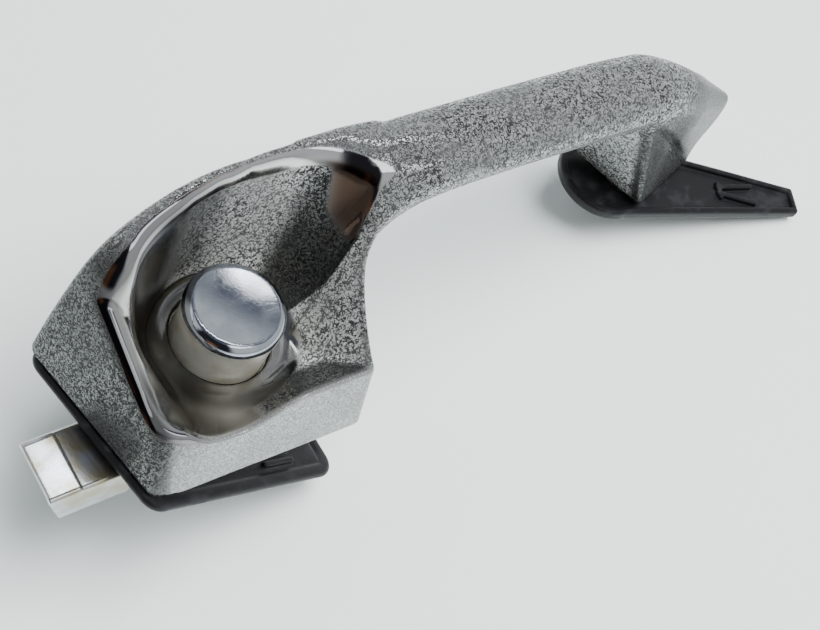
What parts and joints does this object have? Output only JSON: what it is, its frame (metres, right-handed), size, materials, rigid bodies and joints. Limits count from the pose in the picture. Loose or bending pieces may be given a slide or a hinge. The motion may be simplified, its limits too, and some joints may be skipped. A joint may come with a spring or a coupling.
{
  "type": "car door handle",
  "caption": "Chrome pull-type car door handle with a round push button in a thumb scoop, a hollow bow, a pointed nose, rubber gaskets and a rear bracket.",
  "frame": {"origin": "on the push button's axis, in the plane of the casting's feet, which is the door's outer skin", "axes": "+Z out of the door along the button's axis, +X to the button end (rear of the door), +Y to the open side of the thumb scoop"},
  "size_m": [0.2444, 0.0554, 0.0816],
  "materials": {
    "body_chrome": "aged chrome plate with fine pitting and crazing, polished round the scoop",
    "button_chrome": "clean polished chrome plate",
    "barrel_nickel": "satin nickel plate, slightly yellowed",
    "bare_steel": "oiled bare steel",
    "spring_steel": "dark spring steel",
    "screw_steel": "zinc-plated slotted screws",
    "zinc_plate": "bright zinc plate",
    "bracket_zinc": "bluish zinc plate with yellow stains",
    "yellow_zinc": "yellow passivated zinc plate",
    "bush_nylon": "natural moulded nylon",
    "seal_rubber": "black felt-faced rubber",
    "gasket_rubber": "satin black moulded rubber"
  },
  "bodies": {
    "housing": {"handle_body": "body_chrome", "guide_bush": "bush_nylon", "dust_seal": "seal_rubber", "spring_cup": "zinc_plate", "return_spring": "spring_steel", "plate_screws": "screw_steel", "plate_washers": "spring_steel", "mounting_bracket": "bracket_zinc", "bracket_rivets": "bare_steel", "fixing_nut": "yellow_zinc", "foot_insert": "bare_steel"},
    "button": {"button_cap": "button_chrome", "button_barrel": "barrel_nickel", "plunger_rod": "bare_steel", "retaining_clip": "spring_steel", "stop_washer": "bare_steel", "adjusting_screw": "zinc_plate", "lock_nut": "zinc_plate"},
    "front_pad": {"front_gasket": "gasket_rubber"},
    "rear_pad": {"rear_gasket": "gasket_rubber"}
  },
  "joints": [
    {"name": "button_press", "type": "slide", "parent": "housing", "child": "button", "axis": [0, 0, -1], "range_m": [0, 0.007], "stiffness_N_per_m": 1500, "springref_m": -0.006, "deforming": ["return_spring"]},
    {"name": "front_pad_turn", "type": "hinge", "parent": "housing", "child": "front_pad", "pos_m": [-0.141, -0.0084, 0], "axis": [0, 0, 1], "range_deg": [-8, 25]},
    {"name": "rear_pad_lift", "type": "hinge", "parent": "housing", "child": "rear_pad", "pos_m": [0.03848, -0.01375, -0.0003], "axis": [-0.1943, 0.9809, 0], "range_deg": [0, 24]}
  ]
}
